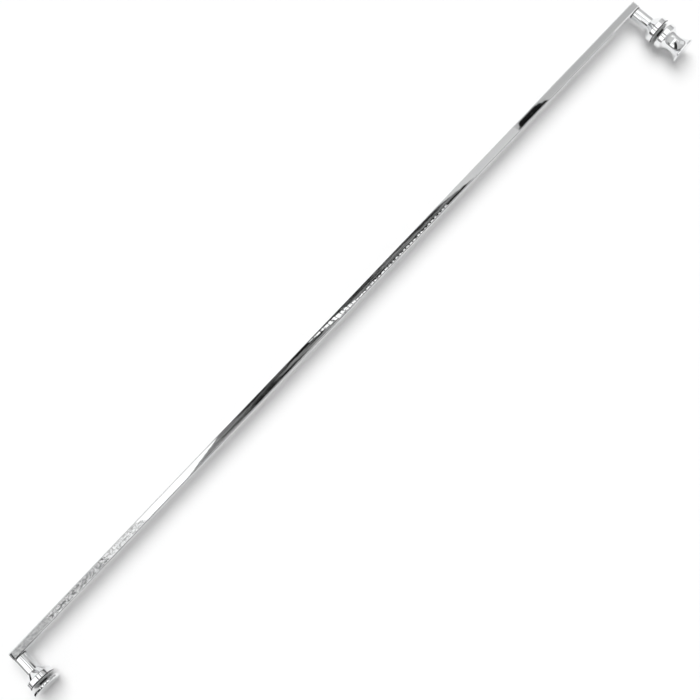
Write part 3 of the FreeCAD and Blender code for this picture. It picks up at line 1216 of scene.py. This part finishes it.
@dataclass(frozen=True)
class Rig:
    """The row of cards over the bar, at the ceiling, that its top face mirrors.

    A point of the top face mirrors the ceiling at the point plus its distance from the eye, measured
    along the floor, times the ceiling's height over the eye's, both counted from the face.
    """

    eye: Triple
    face_z: float = 0.0075
    height: float = CEILING
    outer_y: float = -0.0468
    inner_y: float = -0.0369

    def mirrored(self, x: float, y: float, lift: float) -> Triple:
        """The place on the ceiling that the top face mirrors at x and y."""
        ratio = (self.height + lift - self.face_z) / (self.eye[2] - self.face_z)
        return (x + (x - self.eye[0]) * ratio, y + (y - self.eye[1]) * ratio, self.height + lift)

    def panel(
        self,
        outer: Pair,
        inner: Pair,
        lift: float,
        share: Pair = (0.0, 1.0),
    ) -> tuple[Triple, ...]:
        """The corners of a panel over part of the bar.

        Args:
            outer: Where it starts and ends along the bar, on the side away from the posts.
            inner: The same on the side of the posts.
            lift: How far above the row it hangs. A lower panel hides a higher one.
            share: The part of the face's width that it covers, from the outer side.

        Returns:
            The four corners.
        """
        y_out = self.outer_y + (self.inner_y - self.outer_y) * share[0]
        y_in = self.outer_y + (self.inner_y - self.outer_y) * share[1]
        return (
            self.mirrored(outer[0], y_out, lift),
            self.mirrored(outer[1], y_out, lift),
            self.mirrored(inner[1], y_in, lift),
            self.mirrored(inner[0], y_in, lift),
        )

    def blind(self, blind: Blind) -> tuple[Triple, ...]:
        """Four corners for each of a blind's slats."""
        corners: list[Triple] = []
        for index in range(blind.count):
            x = blind.first_x - blind.step * index
            middle = min(blind.first_share + blind.share_step * index, blind.last_share)
            nearness = max(0.0, 1 - abs(index - blind.longest) / blind.fall)
            half = blind.short_half + blind.extra_half * nearness
            start = blind.edge + blind.reach * max(0.0, middle - half)
            end = blind.edge + blind.reach * min(1.0, middle + half)
            wide = blind.step * (blind.wide if index < blind.narrow_from else blind.narrow)
            lean = blind.lean * blind.step * (end - start)
            corners += self.panel((x, x + wide), (x - lean, x - lean + wide), 0.0, (start, end))
        return tuple(corners)


def slant_card(name: str, edge: Sequence[Pair], far_y: float, height: float, tone: Tone) -> Card:
    """Makes level panels from each run of an edge out to a straight side.

    Args:
        name: The card's name.
        edge: The edge's points in x and y.
        far_y: Where the straight side lies.
        height: How high the panels hang.
        tone: What they give off.

    Returns:
        The card.
    """
    corners: list[Triple] = []
    for (x, y), (next_x, next_y) in zip(edge, edge[1:]):
        ground_plan = ((x, y), (x, far_y), (next_x, far_y), (next_x, next_y))
        corners += [(*place, height) for place in ground_plan]
    return Card(name, tuple(corners), tone)


def level_card(name: str, x: Pair, y: Pair, height: float, tone: Tone) -> Card:
    """A level rectangle between two places in x and two in y."""
    return slant_card(name, ((x[0], y[0]), (x[1], y[0])), y[1], height, tone)


def wall_card(name: str, start: Pair, end: Pair, top: float, tone: Tone, low: float = GROUND) -> Card:
    """An upright rectangle that stands on the line from start to end."""
    corners = ((*start, low), (*end, low), (*end, top), (*start, top))
    return Card(name, corners, tone)


@dataclass
class Studio:
    """A pale floor, soft light, reflecting cards and the camera."""

    floor_drop: float = 0.0005
    floor_size: float = 60.0
    key_from: Triple = (-0.33, -0.38, 1.0)
    key_spread: float = 50.0
    key_strength: float = 2.22
    ambient: float = 0.46
    tent: float = 1.25
    camera_place: Triple = (0.5906, 0.1737, 1.0635)
    camera_aim: Triple = (0.5124, -0.0065, 0.0)
    camera_roll: float = 132.864
    lens: float = 49.88

    def floor(self) -> None:
        """A wide pale floor just under the lowest point of the object."""
        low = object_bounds()[0]
        half = self.floor_size / 2
        z = low.z - self.floor_drop
        corners = [(-half, -half, z), (half, -half, z), (half, half, z), (-half, half, z)]
        material, sheet = blank_material("pale_floor")
        shader = material.node_tree.nodes["Principled BSDF"]
        tones = {"Base Color": (0.93, 0.93, 0.93, 1.0), "Roughness": 0.9, "Specular IOR Level": 0.1}
        sheet.feed(shader, tones)
        add_flat("floor", corners, material)

    def world(self) -> None:
        """White to the camera, even as light, and a tent with a darker foot for reflections."""
        world = bpy.data.worlds.new("surround")
        bpy.context.scene.world = world
        world.use_nodes = True
        sheet = Sheet(world.node_tree)
        way = sheet.add("ShaderNodeTexCoord").outputs["Generated"]
        height = sheet.add("ShaderNodeSeparateXYZ", {"Vector": way}).outputs["Z"]
        ramp = sheet.add("ShaderNodeValToRGB", {"Fac": height})
        stops = ((0.0, 0.26), (0.08, 0.28), (0.16, 0.38), (0.35, 0.46), (0.7, 0.52), (1.0, 0.52))
        bands = ramp.color_ramp.elements
        for _ in range(len(stops) - len(bands)):
            bands.new(0.5)
        for band, (place, tone) in zip(bands, stops):
            band.position = place
            band.color = (tone, tone, tone, 1.0)
        rays = sheet.add("ShaderNodeLightPath").outputs
        even = world.node_tree.nodes["Background"]
        seen = sheet.spread(rays["Is Camera Ray"], 0.0, 1.0, self.ambient, 1.0)
        sheet.feed(even, {"Color": (1.0, 1.0, 1.0, 1.0), "Strength": seen})
        tent = sheet.add("ShaderNodeBackground", {"Color": ramp.outputs["Color"], "Strength": self.tent})
        inputs = {0: rays["Is Glossy Ray"], 1: even.outputs[0], 2: tent.outputs[0]}
        both = sheet.add("ShaderNodeMixShader", inputs)
        output = world.node_tree.nodes["World Output"]
        sheet.feed(output, {"Surface": both.outputs[0]})

    def key_light(self) -> None:
        """A wide soft light from above, from the knob's end and the bar's side."""
        light = bpy.data.lights.new("key_light", "SUN")
        light.angle = math.radians(self.key_spread)
        light.energy = self.key_strength
        lamp = add_object("key_light", light)
        lamp.rotation_euler = (-Vector(self.key_from)).to_track_quat("-Z", "Y").to_euler()
        lamp.visible_glossy = False

    def camera(self) -> None:
        """The camera over the bar, rolled so that the bar lies corner to corner."""
        camera = bpy.data.cameras.new("camera")
        camera.lens = self.lens
        camera.sensor_width = 36.0
        camera.clip_start = 0.01
        camera.clip_end = 200.0
        view = add_object("camera", camera)
        place, aim = Vector(self.camera_place), Vector(self.camera_aim)
        back = (place - aim).normalized()
        side = Vector((0.0, 1.0, 0.0)).cross(back).normalized()
        up = back.cross(side)
        level = Matrix((side, up, back)).transposed()
        roll = Matrix.Rotation(math.radians(self.camera_roll), 3, "Z")
        view.matrix_world = Matrix.Translation(place) @ (level @ roll).to_4x4()
        bpy.context.scene.camera = view

    def overhead(self) -> list[Card]:
        """The row of cards that the bar's top face mirrors."""
        rig = Rig(self.camera_place)
        line = (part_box("cap_end_plate")[1].x - 0.0022, 1.04)
        fine = Tone("fine", 0.64, 0.36, (190.0, 190.0, 1.0), 0.42, 0.58)
        speckled = Tone("speckled", 0.95, 0.10, (215.0, 215.0, 1.0), 0.44, 0.56)
        fading = Tone("fading", 1.05, 0.42, (190.0, 190.0, 1.0), 0.40, 0.56)
        murk = Tone("murk", 0.26, 0.01, (3.5, 120.0, 1.0), 0.42, 0.60)
        return [
            Card("grey_row", rig.panel((-0.02, 1.02), (-0.02, 1.02), 0.10), Tone("grey", 0.51)),
            Card("fine_card", rig.panel((0.952, 1.03), (0.946, 1.03), 0.05), fine),
            Card("speckled_card", rig.panel((0.862, 0.952), (0.855, 0.946), 0.05), speckled),
            Card("fading_card", rig.panel((0.812, 0.862), (0.797, 0.855), 0.05), fading),
            Card("white_card", rig.panel((0.670, 0.812), (0.745, 0.797), 0.05), WHITE),
            Card("murk_card", rig.panel((0.335, 0.670), (0.262, 0.745), 0.05), murk),
            Card("blind", rig.blind(Blind()), WHITE),
            Card("light_card", rig.panel((0.200, 0.335), (0.197, 0.262), 0.05), Tone("light", 0.66)),
            Card("end_line", rig.panel(line, line, 0.02), BLACK),
            Card("patch", rig.panel((0.164, 0.192), (0.146, 0.198), 0.02, (0.14, 0.95)), BLACK),
        ]

    def surroundings(self) -> list[Card]:
        """White panels over the posts, darker ones behind the bar, dark walls and small flags."""
        x, _, z = self.camera_place
        dark = Tone("dark", 0.04)
        dappled = Tone("dappled", 1.3, 0.5, (5.0, 5.0, 1.0), 0.44, 0.50)
        foot, head = ((0.30, -0.50, 0.12), (0.72, -0.50, 0.12)), ((0.93, -0.56), (-0.24, -0.56))
        back = (*foot, *((*place, CEILING) for place in head))
        rail_y = (-0.245, -0.12)
        shade_edge = ((1.10, -0.0513), (1.30, -0.0670), (1.90, -0.1430))
        return [
            level_card("white_strip", (-1.25, 1.95), (-0.465, 0.10), CEILING, WHITE),
            level_card("white_left", (-1.60, -1.28), (-1.50, 0.10), CEILING, WHITE),
            level_card("white_right", (1.98, 7.0), (-4.00, 0.10), CEILING, WHITE),
            level_card("dappled_front", (-2.60, -1.00), (0.12, 3.00), CEILING, dappled),
            Card("dark_back", back, dark),
            level_card("dark_front", (0.62, 0.94), (0.10, 0.60), SHADE_HEIGHT, dark),
            slant_card("end_shade", shade_edge, 0.60, SHADE_HEIGHT, BLACK),
            slant_card("end_stripe", ((1.17, -0.055), (1.23, -0.059)), 0.05, STRIPE_HEIGHT, WHITE),
            level_card("mid_stripe", (0.98, 1.03), (0.03, 0.20), STRIPE_HEIGHT, WHITE),
            level_card("rail_one", (x - 0.33, x - 0.19), rail_y, z + 0.03, dark),
            level_card("rail_two", (x + 0.27, x + 0.41), rail_y, z + 0.03, dark),
            wall_card("knob_glow", (-1.30, -0.90), (-0.35, -0.90), 0.90, Tone("glow", 0.85), 0.15),
            wall_card("back_wall", (-0.10, -0.46), (2.6, -0.46), 0.06, dark),
            level_card("fillet_shade", (0.03, 0.97), (-0.031, -0.012), 0.02, dark),
            wall_card("front_wall", (1.00, 0.70), (2.6, 0.70), 0.08, dark),
            wall_card("far_wall", (1.50, -0.46), (1.50, 0.70), 0.06, BLACK),
            wall_card("end_flag", (1.06, -0.08), (1.06, 0.05), -0.002, BLACK),
            wall_card("tip_flag", (1.024, 0.0015), (1.024, 0.0075), 0.018, BLACK),
            wall_card("disc_flag", (0.957, -0.006), (0.957, 0.012), 0.03, Tone("mid", 0.42)),
            wall_card("plate_flag", (1.03, -0.060), (1.03, -0.043), 0.04, BLACK),
        ]

    def build(self) -> None:
        """Builds the studio."""
        self.floor()
        self.world()
        self.key_light()
        self.camera()
        for card in self.overhead() + self.surroundings():
            card.build()
        bpy.context.scene.view_settings.view_transform = "Standard"


def main() -> None:
    """Builds the object, then the studio."""
    logging.basicConfig(level=logging.INFO, format="%(name)s: %(message)s")
    Bar().build()
    Standoff("knob_end", KNOB_END_X).build()
    Standoff("cap_end", CAP_END_X).build()
    Knob().build()
    Cap().build()
    dress_hidden_nodes()
    Studio().build()


if __name__ == "__main__":
    main()
